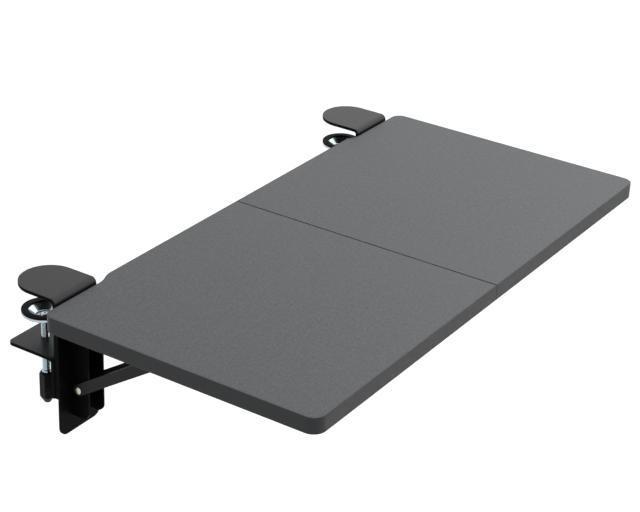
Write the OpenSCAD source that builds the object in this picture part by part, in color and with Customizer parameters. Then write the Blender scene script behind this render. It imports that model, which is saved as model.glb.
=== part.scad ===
// Clamp-on keyboard tray: a two-panel board on two folding brackets.
// Origin: on the desk edge, midway between the clamps, on the plane under the tongues.
// +X runs along the tray, +Y points into the desk and +Z up. The user sits at -Y.
// Bracket profiles are drawn with u = distance from the desk edge towards the user
// and v = height, and are then stood up in the Y-Z plane by slab().

/* [Board] */
// Length of the board, both panels together
board_l = 610; // [600:5:700]
// Depth of the board from the desk edge to the front edge
board_d = 305; // [290:5:340]
// Thickness of the board
board_t = 16; // [15:0.5:20]
// How far the board top lies below the plane under the tongues
board_drop = 1.5; // [0.5:0.5:4]
// Gap between the desk edge and the rear edge of the board
board_gap = 0.3; // [0.2:0.1:1]
// Corner radius at the front
front_corner_r = 13; // [6:1:20]
// Corner radius at the rear
rear_corner_r = 11; // [6:1:15]
// Length of the curved run from the rear edge into each clamp recess
recess_run = 24; // [16:1:30]
// Thickness of the edge band
band_t = 1; // [0.6:0.2:2]
// Gap of the seam between the panels
seam_gap = 0.4; // [0.2:0.1:1]

/* [Seam hardware] */
// Length of a joining plate, across the seam
join_l = 120; // [100:2:160]
// Width of a joining plate
join_w = 30; // [24:1:40]
// Thickness of a joining plate
join_t = 2; // [1.5:0.1:3]
// Number of joining plates
join_count = 3; // [2:1:4]
// Radius of a seam dowel
dowel_r = 4; // [3:0.5:5]
// Length of a seam dowel
dowel_l = 30; // [24:1:32]
// Number of seam dowels
dowel_count = 4; // [3:1:5]
// Shank radius of the wood screws
screw_r = 2; // [1.5:0.1:2.2]
// Depth that a wood screw reaches into the board
screw_bite = 10.5; // [8:0.5:12]

/* [Clamp] */
// Distance of each clamp's middle from the board's end
clamp_inset = 50; // [44:1:70]
// Width of the upper jaw and of the back plate
jaw_w = 58; // [56:1:70]
// Width of the lower jaw
lower_w = 60; // [56:1:70]
// Thickness of the jaw plates
jaw_t = 3.5; // [2.8:0.1:4]
// Inner radius of the bends in the jaws
bend_r = 2.3; // [2:0.1:4]
// Reach of the tongue over the desk
tongue_l = 58; // [50:1:70]
// How far the upper jaw's plate reaches down
jaw_drop = 101.5; // [98:0.5:110]
// Depth of the lower jaw's top face below the tongue
jaw_open = 58.5; // [55:0.5:60]
// Reach of the lower jaw under the desk
lower_l = 56.5; // [48:0.5:60]
// Corner radius of the lower jaw
lower_corner_r = 5.5; // [4:0.5:10]
// Radius of the two bolts that hold the jaws to the bracket
bolt_r = 3; // [2.5:0.1:3]
// Height of the upper bolt below the tongue
bolt_drop = 73; // [71:0.5:75]
// Spacing of the two bolts
bolt_pitch = 15.5; // [14:0.5:16]

/* [Clamp screw] */
// Distance of the spindle from the desk edge
spindle_y = 36; // [32:1:38]
// Radius of the spindle
spindle_r = 4; // [3.5:0.1:4.5]
// Radius of the spindle's neck in the cup
neck_r = 3; // [2.5:0.1:3]
// Depth of the pad's face below the tongue, where it stands in the photograph
pad_drop = 29; // [28:0.5:34]
// Outer radius of the rubber ring
ring_r = 22; // [18:0.5:23]
// Radius of the ring's opening
ring_hole_r = 15; // [12:0.5:16]
// Thickness of the rubber ring
ring_t = 2; // [1.6:0.1:3.5]
// Sheet thickness of the cup
cup_t = 1.2; // [0.8:0.1:1.5]
// Height of the cup's turned-down rim
rim_h = 2.6; // [2:0.1:4]
// Depth of the cup's dish below its rim
dish_depth = 5.5; // [4:0.1:6]
// Length of the threaded spindle between the cup and its collar
thread_l = 57.5; // [52:0.5:62]
// Radius of the collar above the handle
collar_r = 4.8; // [4.6:0.1:5.2]
// Height of the collar
collar_h = 2; // [1.5:0.1:4]
// Length of the handle
handle_l = 33.5; // [28:0.5:40]
// Radius over the corners of the handle
handle_r = 7.4; // [6.6:0.1:10]
// Radius of the handle's round upper end
handle_top_r = 5.2; // [4.6:0.1:5.6]
// Radius of its round lower end
handle_end_r = 3.3; // [3:0.1:5]
// Height of the round shoulder at the top of the handle
handle_shoulder = 2.4; // [2:0.2:5]
// Height of the round taper at its lower end
handle_taper = 7.2; // [5:0.2:9]
// How far the handle is turned where it stands in the photograph, in degrees
handle_turn = 22; // [0:1:60]
// Radius of the pin that holds the handle
handle_pin_r = 1.25; // [1:0.05:1.5]
// Length of that pin, driven in below the handle's faces
handle_pin_l = 8.4; // [7:0.2:11]

/* [Bracket] */
// Thickness of the back plate
plate_t = 2; // [1.6:0.1:2.5]
// How far the back plate reaches below the tongue
plate_drop = 142.5; // [138:0.5:160]
// Radius of the back plate's lower corners
plate_corner_r = 10; // [4:1:12]
// Outer width of the upright channel
upright_w = 23; // [22:0.5:23]
// Depth of the upright channel
upright_d = 20; // [18:0.5:21]
// Sheet thickness of the upright channel
upright_t = 2; // [1.6:0.1:2]
// How far the upright channel reaches below the tongue
upright_drop = 125.5; // [122:0.5:136]
// Radius of the upright's lower front corners
upright_corner_r = 8; // [4:1:9]
// Sheet thickness of the arm
arm_t = 2; // [1.8:0.1:2.2]
// Length of the arm ahead of the hinge
arm_l = 205; // [198:1:240]
// How far the arm's side walls reach below the hinge
arm_lip = 5.2; // [5:0.1:7]
// Number of screws that hold each arm
arm_screw_count = 5; // [3:1:6]
// Radius of the hinge pin, the rivet and the sliding studs
pin_r = 3; // [2.5:0.1:3.2]
// Radius of their flat heads
head_r = 5; // [4.2:0.1:5.2]

/* [Strut] */
// Height of the hinge above the strut's rivet
rivet_drop = 63.5; // [60:0.5:66]
// Length of the strut between its pivots
strut_l = 115; // [112:0.5:118]
// Height of the strut's side walls
strut_h = 11.4; // [11:0.1:12]
// Sheet thickness of the strut
strut_t = 1.5; // [1.2:0.1:1.5]
// Washer gap between the upright and the strut
strut_gap = 1.5; // [0.5:0.1:2]
// Sheet thickness of the slider
slider_t = 1.2; // [1:0.1:1.2]
// Length of the slider
slider_l = 24; // [20:1:26]

/* [Release lever] */
// Sheet thickness of the lever
lever_t = 2; // [1.5:0.1:2.5]
// Reach of the lever ahead of its pivot
lever_l = 38; // [34:1:44]
// Drop of the lever's tab below its pivot
lever_drop = 17; // [14:0.5:20]
// Width of the finger tab
tab_w = 18; // [14:1:22]
// Wire diameter of the lever spring
wire_d = 1.2; // [0.8:0.1:1.3]
// Mean radius of the lever spring
coil_r = 4.6; // [4.4:0.1:5.2]
// Curls of the lever spring
coil_turns = 3; // [2:1:3]

/* [Hidden] */

$fn = 64;
// Clearance round a pin that turns or slides, and round one that is fixed
run_fit = 0.05;
fix_fit = 0.02;
// Gap between two parts that move past each other, face to face
side_gap = 0.3;
// Gap between the upright's rounded top and the arm, and the arm's own rear end
rear_gap = 0.7;
// Radius of the arm's nose
arm_nose_r = 12;
// Distance of the back plate's top below the tongue
plate_top_drop = 6;
// How far a cutting shape runs past the face it cuts
past = 1;

// Colours as the photograph shows them
board_grey = [0.39, 0.39, 0.40];
band_grey = [0.31, 0.31, 0.32];
jaw_black = [0.20, 0.20, 0.21];
bracket_black = [0.10, 0.10, 0.105];
zinc = [0.75, 0.78, 0.82];
plain_steel = [0.66, 0.65, 0.62];
rubber_black = [0.06, 0.06, 0.06];
plastic_black = [0.12, 0.12, 0.125];
wood = [0.80, 0.66, 0.46];

// Heights of the board and lines of the bracket
board_top = -board_drop;
board_bottom = board_top - board_t;
plate_front = jaw_t + plate_t;
upright_front = plate_front + upright_d;
pivot_u = plate_front + upright_d / 2;
// The arm's web passes just over the round top of the upright
web_gap = 1;
web_under = upright_d / 2 + web_gap;
hinge_v = board_bottom - arm_t - web_under;
rivet_v = hinge_v - rivet_drop;
// Distance of each clamp's middle from the tray's middle
clamp_x = board_l / 2 - clamp_inset;

// Rear edge of the board: level between the clamps, stepped back in front of them
recess_clear = 0.5;
recess_y = -(plate_front + recess_clear);
rear_y = -board_gap;
front_y = -board_gap - board_d;
recess_h = rear_y - recess_y;
recess_x = clamp_x - jaw_w / 2 - recess_clear;
recess_r = (recess_run * recess_run + recess_h * recess_h) / (4 * recess_h);
recess_a = asin(recess_run / (2 * recess_r));

// Strut at rest: how far along the arm its pin stands, and its slope
pin_t = sqrt(strut_l * strut_l - rivet_drop * rivet_drop);
strut_rise = asin(rivet_drop / strut_l);
slot_far = rivet_drop + strut_l;
pin_u = pivot_u + pin_t;

// Half widths across a bracket, from the middle outwards
upright_half = upright_w / 2;
strut_inner = upright_half + strut_gap;
strut_outer = strut_inner + strut_t;
slider_inner = strut_outer + side_gap;
slider_outer = slider_inner + slider_t;
rivet_head_t = 1.5;
rivet_head_in = strut_outer + 0.2;
rivet_head_r = pin_r * 1.27;
arm_inner = max(slider_outer + 0.5, rivet_head_in + rivet_head_t + side_gap);
arm_outer = arm_inner + arm_t;
head_in = arm_outer + side_gap;
head_t = 1.8;

// The strut is open at the top, and its web starts beyond the reach of the upright's lower end
web_start = norm([upright_front - pivot_u, rivet_v + upright_drop]) + 1.5;
web_end = strut_l - 8;
// Height of the slider's web above its pin
slider_web_v = web_under - 0.6 - slider_t;

// Clamp bolts
bolt_v = [-bolt_drop, -bolt_drop - bolt_pitch];
bolt_head_r = bolt_r * 1.8;
bolt_head_t = 3.3;
nut_t = 5;
nut_r = bolt_r * 1.93;

// Spindle heights, downwards from the pad's face
rim_v = -pad_drop - ring_t;
floor_v = rim_v - dish_depth;
shoulder_v = floor_v - cup_t - 0.1;
collar_v = shoulder_v - thread_l;
handle_v = collar_v - collar_h;
thread_nut_t = 6.5;
thread_nut_r = spindle_r * 1.876;
handle_hole_l = handle_l - 7;

// Wood screw heads
csk_r = screw_r * 2;
pan_r = screw_r * 2;
pan_t = 2.2;

// Lever: places are counted from its pivot, forwards and upwards
lever_in = arm_outer + side_gap;
lever_out = lever_in + lever_t;
hub_r = 7;
stop_r = 2.5;
stop_t = -14;
stop_n = 4.2;
tab_l = 12;
tab_t = 2;
grip_wall = 2;
coil_pitch = wire_d + 0.55;
coil_in = lever_out + side_gap + wire_d / 2;
coil_out = coil_in + coil_pitch * coil_turns;
stud_head = coil_out + wire_d / 2 + side_gap;

// Shared shapes
function arc(c, r, a0, a1, n) =
    [for (i = [0:n]) let (a = a0 + (a1 - a0) * i / n) c + r * [cos(a), sin(a)]];

function flip(pts) = [for (i = [len(pts) - 1:-1:0]) pts[i]];

// Outline of the right half of the board, drawn in by d from the outer edges
function half_outline(d) = concat(
    [[seam_gap / 2, rear_y - d]],
    arc([recess_x - recess_run, rear_y - recess_r], recess_r - d, 90, 90 - recess_a, 8),
    arc([recess_x, recess_y + recess_r], recess_r + d, 270 - recess_a, 270, 8),
    arc([board_l / 2 - rear_corner_r, recess_y - rear_corner_r], rear_corner_r - d, 90, 0, 12),
    arc([board_l / 2 - front_corner_r, front_y + front_corner_r], front_corner_r - d, 0, -90, 12),
    [[seam_gap / 2, front_y + d]]
);

// Stand a u-v profile up between two places along the bracket's width
module slab(x0, x1) {
    translate([x1, 0, 0]) rotate([90, 0, -90]) linear_extrude(x1 - x0) children();
}

module both_sides(x0, x1) {
    slab(x0, x1) children();
    slab(-x1, -x0) children();
}

module pin(x0, x1, r, u, v) {
    translate([x0, -u, v]) rotate([0, 90, 0]) cylinder(r = r, h = x1 - x0);
}

module stadium(l, r) {
    circle(r);
    translate([l, 0]) circle(r);
    translate([0, -r]) square([l, 2 * r]);
}

module round_rect(w, h, r) {
    translate([r, 0]) square([w - 2 * r, h]);
    translate([0, r]) square([w, h - 2 * r]);
    for (x = [r, w - r], y = [r, h - r]) translate([x, y]) circle(r);
}

// A sheet bent to a right angle, with the outside of its corner at the origin
module bent_sheet(a, b, t, r) {
    translate([-a, -t]) square([a - r - t, t]);
    translate([-t, -b]) square([t, b - r - t]);
    translate([-r - t, -r - t]) intersection() {
        difference() {
            circle(r + t);
            circle(r);
        }
        square(r + t);
    }
}

// Brackets are drawn about their own middle, with +X towards the tray's middle
module left() {
    translate([-clamp_x, 0, 0]) children();
}

module right() {
    mirror([1, 0, 0]) left() children();
}

// Board
module panel() {
    difference() {
        translate([0, 0, board_bottom]) linear_extrude(board_t)
            polygon(half_outline(band_t));
        dowel_rods(fix_fit);
        for (p = join_screw_places()) screw_hole(p);
        for (p = arm_screw_places()) screw_hole(p);
    }
}

module right_panel() {
    color(board_grey) panel();
}

module left_panel() {
    color(board_grey) mirror([1, 0, 0]) panel();
}

module edge_band() {
    translate([0, 0, board_bottom]) linear_extrude(board_t)
        polygon(concat(half_outline(0), flip(half_outline(band_t))));
}

module right_edge_band() {
    color(band_grey) edge_band();
}

module left_edge_band() {
    color(band_grey) mirror([1, 0, 0]) edge_band();
}

module screw_hole(p) {
    translate([p[0], p[1], board_bottom - past])
        cylinder(r = screw_r + fix_fit, h = screw_bite + past + 0.2);
}

// Seam hardware, spread evenly over the depth of the board
function spread(i, n) = rear_y - board_d * (i + 0.5) / n;
function join_x() = [join_l * 0.15, join_l * 0.39];
function join_screw_places() = [
    for (i = [0:join_count - 1], x = join_x()) [x, spread(i, join_count)]
];

module dowel_rods(grow) {
    // The rods sit between the joining plates
    for (i = [0:dowel_count - 1])
        translate([-dowel_l / 2 - grow, spread(i, dowel_count), board_bottom + board_t / 2])
            rotate([0, 90, 0]) cylinder(r = dowel_r + grow, h = dowel_l + 2 * grow);
}

module seam_dowels() {
    color(wood) dowel_rods(0);
}

module joining_plates() {
    color(bracket_black) for (i = [0:join_count - 1]) difference() {
        translate([-join_l / 2, spread(i, join_count) - join_w / 2, board_bottom - join_t])
            linear_extrude(join_t) round_rect(join_l, join_w, 4);
        for (x = join_x(), s = [-1, 1])
            translate([s * x, spread(i, join_count), board_bottom - join_t - past])
                cylinder(r = screw_r + fix_fit, h = join_t + 2 * past);
    }
}

// A cross recess in a screw head, opening downwards
module cross_cut(r, h) {
    for (a = [0, 90]) rotate(a) translate([-r * 0.55, -0.4, -past])
        cube([r * 1.1, 0.8, h + past]);
}

module joining_screws() {
    color(zinc) for (p = join_screw_places(), s = [-1, 1])
        translate([s * p[0], p[1], board_bottom - join_t]) difference() {
            union() {
                cylinder(r = screw_r, h = join_t + screw_bite);
                translate([0, 0, -pan_t]) cylinder(r1 = pan_r * 0.8, r2 = pan_r, h = pan_t);
            }
            translate([0, 0, -pan_t]) cross_cut(pan_r, 1.2);
        }
}

// Screws from each arm's web up into the board
arm_screw_first = 20;
arm_screw_last = arm_l - 13;
function arm_screw_places() = [
    for (i = [0:arm_screw_count - 1])
        [clamp_x, -pivot_u - arm_screw_first
            - (arm_screw_last - arm_screw_first) * i / (arm_screw_count - 1)]
];

module arm_screws() {
    color(zinc) for (p = arm_screw_places(), s = [-1, 1])
        translate([s * p[0], p[1], board_bottom - arm_t]) difference() {
            union() {
                cylinder(r1 = csk_r, r2 = screw_r, h = arm_t);
                cylinder(r = screw_r, h = arm_t + screw_bite);
            }
            cross_cut(csk_r, 1.2);
        }
}

// Clamp
module bolt_holes() {
    for (v = bolt_v) translate([0, 0, v]) rotate([90, 0, 0])
        cylinder(r = bolt_r + fix_fit, h = 2 * (upright_front + jaw_t), center = true);
}

module upper_jaw() {
    color(jaw_black) difference() {
        intersection() {
            slab(-jaw_w / 2, jaw_w / 2) translate([jaw_t, jaw_t])
                bent_sheet(tongue_l + jaw_t, jaw_drop + jaw_t, jaw_t, bend_r);
            translate([0, 0, -jaw_drop - past]) linear_extrude(jaw_drop + 20) union() {
                translate([-jaw_w / 2, -jaw_t - past])
                    square([jaw_w, tongue_l - jaw_w / 2 + jaw_t + past]);
                translate([0, tongue_l - jaw_w / 2]) circle(jaw_w / 2, $fn = 128);
            }
        }
        bolt_holes();
    }
}

module lower_jaw() {
    color(jaw_black) difference() {
        intersection() {
            slab(-lower_w / 2, lower_w / 2) translate([0, -jaw_open])
                bent_sheet(lower_l, jaw_drop - jaw_open, jaw_t, bend_r);
            translate([-lower_w / 2, -lower_corner_r * 2, -jaw_drop - past])
                linear_extrude(jaw_drop)
                    round_rect(lower_w, lower_l + lower_corner_r * 2, lower_corner_r);
        }
        bolt_holes();
        translate([0, spindle_y, -jaw_open - jaw_t - past])
            cylinder(r = spindle_r + 0.5, h = jaw_t + 2 * past);
    }
}

module thread_nut() {
    color(zinc) translate([0, spindle_y, -jaw_open - jaw_t - thread_nut_t]) difference() {
        cylinder(r = thread_nut_r, h = thread_nut_t, $fn = 6);
        translate([0, 0, -past]) cylinder(r = spindle_r + run_fit, h = thread_nut_t + 2 * past);
    }
}

module clamp_bolts() {
    color(zinc) for (v = bolt_v) translate([0, -plate_front - upright_t, v])
        rotate([-90, 0, 0]) difference() {
            union() {
                cylinder(r = bolt_r, h = plate_front + upright_t + jaw_t + nut_t + 2);
                translate([0, 0, -bolt_head_t])
                    cylinder(r1 = bolt_head_r * 0.8, r2 = bolt_head_r, h = bolt_head_t);
            }
            translate([0, 0, -bolt_head_t - past])
                cylinder(r = bolt_r * 0.67, h = 2 + past, $fn = 6);
        }
}

module clamp_nuts() {
    color(zinc) for (v = bolt_v) translate([0, jaw_t, v]) rotate([-90, 0, 0]) difference() {
        cylinder(r = nut_r, h = nut_t, $fn = 6);
        translate([0, 0, -past]) cylinder(r = bolt_r + fix_fit, h = nut_t + 2 * past);
    }
}

// Clamp screw
module pad_ring() {
    color(rubber_black) translate([0, spindle_y, rim_v]) difference() {
        cylinder(r = ring_r, h = ring_t);
        translate([0, 0, -past]) cylinder(r = ring_hole_r, h = ring_t + 2 * past);
    }
}

module pad_cup() {
    dish_top = ring_hole_r + 0.6;
    dish_foot = dish_top - dish_depth;
    color(zinc) translate([0, spindle_y, 0]) rotate_extrude() polygon([
        [neck_r + run_fit, floor_v - cup_t],
        [dish_foot, floor_v - cup_t],
        [dish_top, rim_v - cup_t],
        [ring_r - cup_t, rim_v - cup_t],
        [ring_r - cup_t, rim_v - rim_h],
        [ring_r, rim_v - rim_h],
        [ring_r, rim_v],
        [dish_top - cup_t / 2, rim_v],
        [dish_foot - cup_t / 2, floor_v],
        [neck_r + run_fit, floor_v]
    ]);
}

module spindle() {
    color(zinc) translate([0, spindle_y, 0]) difference() {
        union() {
            translate([0, 0, collar_v]) cylinder(r = spindle_r, h = thread_l);
            translate([0, 0, shoulder_v]) cylinder(r = neck_r, h = cup_t + 0.2);
            translate([0, 0, floor_v + 0.1])
                cylinder(r1 = neck_r * 1.6, r2 = neck_r * 1.1, h = 1.8);
            translate([0, 0, handle_v]) cylinder(r = collar_r, h = collar_h);
            translate([0, 0, handle_v - handle_hole_l]) cylinder(r = neck_r, h = handle_hole_l);
        }
        translate([0, 0, floor_v + 1]) cylinder(r1 = 0.2, r2 = neck_r * 0.6, h = 0.91);
        handle_cross(fix_fit);
    }
}

module handle_cross(grow) {
    translate([0, 0, handle_v - handle_l * 0.45]) rotate([0, 90, 90 + handle_turn])
        cylinder(r = handle_pin_r + grow, h = 2 * handle_r + past, center = true, $fn = 32);
}

// A six-sided grip with round ends, its flats square to the pin
module handle_body() {
    wide = handle_r + 0.2;
    translate([0, 0, handle_v - handle_l]) intersection() {
        rotate(handle_turn) cylinder(r = handle_r, h = handle_l, $fn = 6);
        rotate_extrude() polygon([
            [0, 0],
            [handle_end_r, 0],
            [wide, handle_taper],
            [wide, handle_l - handle_shoulder],
            [handle_top_r, handle_l],
            [0, handle_l]
        ]);
    }
}

module handle() {
    color(plastic_black) translate([0, spindle_y, 0]) difference() {
        handle_body();
        translate([0, 0, handle_v - handle_hole_l - 0.2])
            cylinder(r = neck_r + fix_fit, h = handle_hole_l + past);
        handle_cross(fix_fit);
    }
}

module handle_pin() {
    color(plain_steel) translate([0, spindle_y, handle_v - handle_l * 0.45])
        rotate([0, 90, 90 + handle_turn])
            cylinder(r = handle_pin_r, h = handle_pin_l, center = true, $fn = 32);
}

// Bracket
module back_plate() {
    color(bracket_black) difference() {
        translate([-jaw_w / 2, -jaw_t, -plate_drop]) rotate([90, 0, 0])
            linear_extrude(plate_t) difference() {
                round_rect(jaw_w, plate_drop - plate_top_drop, plate_corner_r);
                translate([-past, plate_drop - plate_top_drop - 1])
                    square([jaw_w + 2 * past, 1 + past]);
            }
        bolt_holes();
    }
}

module upright_side() {
    difference() {
        union() {
            translate([pivot_u, hinge_v]) circle(upright_d / 2);
            translate([plate_front, -upright_drop])
                square([upright_d, upright_drop + hinge_v]);
        }
        translate([upright_front - upright_corner_r, -upright_drop]) difference() {
            translate([0, -past]) square([upright_corner_r + past, upright_corner_r + past]);
            translate([0, upright_corner_r]) circle(upright_corner_r);
        }
    }
}

module upright() {
    color(bracket_black) difference() {
        union() {
            both_sides(upright_half - upright_t, upright_half) upright_side();
            slab(-upright_half, upright_half) translate([plate_front, -upright_drop])
                square([upright_t, upright_drop + hinge_v - 2]);
        }
        bolt_holes();
        pin(-clamp_x / 4, clamp_x / 4, pin_r + fix_fit, pivot_u, hinge_v);
        pin(-clamp_x / 4, clamp_x / 4, pin_r + fix_fit, pivot_u, rivet_v);
    }
}

module hinge_pin() {
    color(plain_steel) {
        pin(-head_in - head_t, head_in + head_t, pin_r, pivot_u, hinge_v);
        pin(head_in, head_in + head_t, head_r, pivot_u, hinge_v);
        pin(-head_in - head_t, -head_in, head_r, pivot_u, hinge_v);
    }
}

module strut_rivet() {
    rivet_head_out = rivet_head_in + rivet_head_t;
    color(plain_steel) {
        pin(-rivet_head_out, rivet_head_out, pin_r, pivot_u, rivet_v);
        pin(rivet_head_in, rivet_head_out, rivet_head_r, pivot_u, rivet_v);
        pin(-rivet_head_out, -rivet_head_in, rivet_head_r, pivot_u, rivet_v);
    }
}

module arm_side() {
    rear = upright_d / 2 - rear_gap;
    translate([pivot_u, hinge_v]) difference() {
        union() {
            intersection() {
                circle(rear);
                translate([-rear, -arm_lip]) square([2 * rear, 2 * arm_lip]);
            }
            translate([-rear, 0]) square([rear, web_under + arm_t]);
            translate([0, -arm_lip]) square([arm_l, arm_lip + web_under + arm_t]);
        }
        circle(pin_r + run_fit);
        translate([pin_t - 0.2, 0]) stadium(slot_far - pin_t + 0.4, pin_r + run_fit);
        translate([arm_l - arm_nose_r, -arm_lip]) difference() {
            translate([0, -past]) square([arm_nose_r + past, arm_nose_r + past]);
            translate([0, arm_nose_r]) circle(arm_nose_r);
        }
    }
}

module arm() {
    rear = upright_d / 2 - rear_gap;
    color(bracket_black) difference() {
        union() {
            both_sides(arm_inner, arm_outer) arm_side();
            slab(-arm_outer, arm_outer)
                translate([pivot_u - rear, hinge_v + web_under])
                    square([arm_l + rear, arm_t]);
        }
        for (p = arm_screw_places()) translate([0, p[1], board_bottom - arm_t])
            cylinder(r1 = csk_r + fix_fit, r2 = screw_r + fix_fit, h = arm_t);
    }
}

// Studs on the arms that the levers hook behind
module stop_stud() {
    pin(arm_inner + 0.4, lever_out + side_gap, stop_r, pin_u + stop_t, hinge_v + stop_n);
}

module stop_studs() {
    color(plain_steel) difference() {
        union() {
            left() stop_stud();
            right() stop_stud();
        }
        left() arm_wall();
        right() arm_wall();
    }
}

// The studs stand on the arm's outer face
module arm_wall() {
    translate([0, -pin_u - arm_l, hinge_v - arm_l / 2]) cube([arm_outer, arm_l * 2, arm_l]);
}

// Strut, drawn along its own line from the rivet and then raised to its slope
module on_strut() {
    translate([pivot_u, rivet_v]) rotate(strut_rise) children();
}

module strut() {
    color(bracket_black) union() {
        both_sides(strut_inner, strut_outer) on_strut() difference() {
            stadium(strut_l, strut_h / 2);
            circle(pin_r + run_fit);
            translate([strut_l, 0]) circle(pin_r + fix_fit);
        }
        slab(-strut_outer, strut_outer) on_strut()
            translate([web_start, -strut_h / 2]) square([web_end - web_start, strut_t]);
    }
}

module strut_pin() {
    color(plain_steel) pin(-strut_outer, strut_outer, pin_r, pin_u, hinge_v);
}

// Slider that carries the strut's studs along the slots of the arm
module slider() {
    color(zinc) {
        both_sides(slider_inner, slider_outer) translate([pin_u, hinge_v]) difference() {
            translate([-slider_l / 2, -arm_lip + 0.4])
                square([slider_l, arm_lip - 0.4 + slider_web_v + slider_t]);
            circle(pin_r + fix_fit);
        }
        slab(-slider_outer, slider_outer)
            translate([pin_u - slider_l / 2, hinge_v + slider_web_v])
                square([slider_l, slider_t]);
    }
}

module slider_studs() {
    color(plain_steel) {
        pin(slider_inner, stud_head + head_t, pin_r, pin_u, hinge_v);
        pin(stud_head, stud_head + head_t, head_r, pin_u, hinge_v);
        pin(-head_in - head_t, -slider_inner, pin_r, pin_u, hinge_v);
        pin(-head_in - head_t, -head_in, head_r, pin_u, hinge_v);
    }
}

// Release lever on the inner side of each arm
module lever_side() {
    hook_top = -2.5;
    lip_w = 3;
    lip_back = stop_t - stop_r - 0.6 - lip_w;
    translate([pin_u, hinge_v]) difference() {
        union() {
            circle(hub_r);
            rotate(-atan2(lever_drop, lever_l - tab_l / 2))
                translate([0, -hub_r * 0.7]) square([norm([lever_drop, lever_l - tab_l / 2]), hub_r * 1.4]);
            translate([lever_l - tab_l - 2, -lever_drop - tab_t - 1])
                round_rect(tab_l + 4, hub_r * 1.5, 2);
            translate([lip_back, -hub_r]) square([-lip_back, hub_r + hook_top]);
            translate([lip_back, -hub_r]) square([lip_w, hub_r + stop_n - stop_r - 0.5]);
        }
        circle(pin_r + run_fit);
    }
}

module lever_tab(grow) {
    translate([lever_in, -pin_u - lever_l - grow, hinge_v - lever_drop - tab_t - grow])
        cube([lever_t + tab_w + grow, tab_l + 2 * grow, tab_t + 2 * grow]);
}

module release_lever() {
    color(bracket_black) union() {
        slab(lever_in, lever_out) lever_side();
        lever_tab(0);
    }
}

module lever_grip() {
    color(plastic_black) difference() {
        slab(lever_out + 2, lever_out + tab_w + grip_wall)
            translate([pin_u + lever_l - tab_l - grip_wall, hinge_v - lever_drop - tab_t - grip_wall])
                round_rect(tab_l + 2 * grip_wall, tab_t + 2 * grip_wall, grip_wall);
        lever_tab(fix_fit);
    }
}

// Lever spring: one unbroken wire, with a straight leg at each end
coil_rings = 8;
leg_l = 6;
wire_sides = 6;
coil_n = coil_rings * coil_turns;
function coil_angle(i) = 360 * i / coil_rings;
function coil_point(i) =
    [coil_in + coil_pitch * i / coil_rings, coil_r * cos(coil_angle(i)), coil_r * sin(coil_angle(i))];
function coil_out_dir(i) = [0, cos(coil_angle(i)), sin(coil_angle(i))];
function coil_dir(i) = [0, -sin(coil_angle(i)), cos(coil_angle(i))];
function wire_ring(c, i) = [
    for (k = [0:wire_sides - 1]) let (a = 360 * k / wire_sides)
        c + wire_d / 2 * (cos(a) * coil_out_dir(i) + sin(a) * [1, 0, 0])
];
spring_points = concat(
    wire_ring(coil_point(0) - leg_l * coil_dir(0), 0),
    [for (i = [0:coil_n]) each wire_ring(coil_point(i), i)],
    wire_ring(coil_point(coil_n) + leg_l * coil_dir(coil_n), coil_n)
);
spring_rows = coil_n + 3;
spring_faces = concat(
    [[for (k = [wire_sides - 1:-1:0]) k]],
    [for (i = [0:spring_rows - 2], k = [0:wire_sides - 1])
        let (a = i * wire_sides + k, b = i * wire_sides + (k + 1) % wire_sides)
            each [[a, b, b + wire_sides], [a, b + wire_sides, a + wire_sides]]],
    [[for (k = [0:wire_sides - 1]) (spring_rows - 1) * wire_sides + k]]
);
// Least gap between neighbouring curls, measured on the wire's own points
spring_gap = min([for (i = [0:coil_n - coil_rings], j = [i + coil_rings - 1:i + coil_rings])
    norm(coil_point(j) - coil_point(i)) - wire_d]);
echo(spring_gap = spring_gap);

module lever_spring() {
    color(plain_steel) translate([0, -pin_u, hinge_v]) polyhedron(spring_points, spring_faces);
}

left_panel();
right_panel();
left_edge_band();
right_edge_band();
joining_plates();
joining_screws();
seam_dowels();
arm_screws();
stop_studs();
left() upper_jaw();  // left_upper_jaw
right() upper_jaw();  // right_upper_jaw
left() lower_jaw();  // left_lower_jaw
right() lower_jaw();  // right_lower_jaw
left() thread_nut();  // left_thread_nut
right() thread_nut();  // right_thread_nut
left() clamp_bolts();  // left_clamp_bolts
right() clamp_bolts();  // right_clamp_bolts
left() clamp_nuts();  // left_clamp_nuts
right() clamp_nuts();  // right_clamp_nuts
left() back_plate();  // left_back_plate
right() back_plate();  // right_back_plate
left() upright();  // left_upright
right() upright();  // right_upright
left() hinge_pin();  // left_hinge_pin
right() hinge_pin();  // right_hinge_pin
left() strut_rivet();  // left_strut_rivet
right() strut_rivet();  // right_strut_rivet
left() arm();  // left_arm
right() arm();  // right_arm
left() strut();  // left_strut
right() strut();  // right_strut
left() strut_pin();  // left_strut_pin
right() strut_pin();  // right_strut_pin
left() slider();  // left_slider
right() slider();  // right_slider
left() slider_studs();  // left_slider_studs
right() slider_studs();  // right_slider_studs
left() release_lever();  // left_release_lever
right() release_lever();  // right_release_lever
left() lever_grip();  // left_lever_grip
right() lever_grip();  // right_lever_grip
left() lever_spring();  // left_lever_spring
right() lever_spring();  // right_lever_spring
left() pad_cup();  // left_pad_cup
right() pad_cup();  // right_pad_cup
left() pad_ring();  // left_pad_ring
right() pad_ring();  // right_pad_ring
left() spindle();  // left_spindle
right() spindle();  // right_spindle
left() handle();  // left_handle
right() handle();  // right_handle
left() handle_pin();  // left_handle_pin
right() handle_pin();  // right_handle_pin
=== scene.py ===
"""Clamp-on keyboard tray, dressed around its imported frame.

Laid out as an add-on and run as a script. Everything is in metres in the row frame:
+X along the tray, +Y into the desk, +Z up, with the desk edge at the origin.
"""

from math import cos, pi, radians, sin, tau

import bmesh
import bpy
from mathutils import Matrix, Vector


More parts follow.
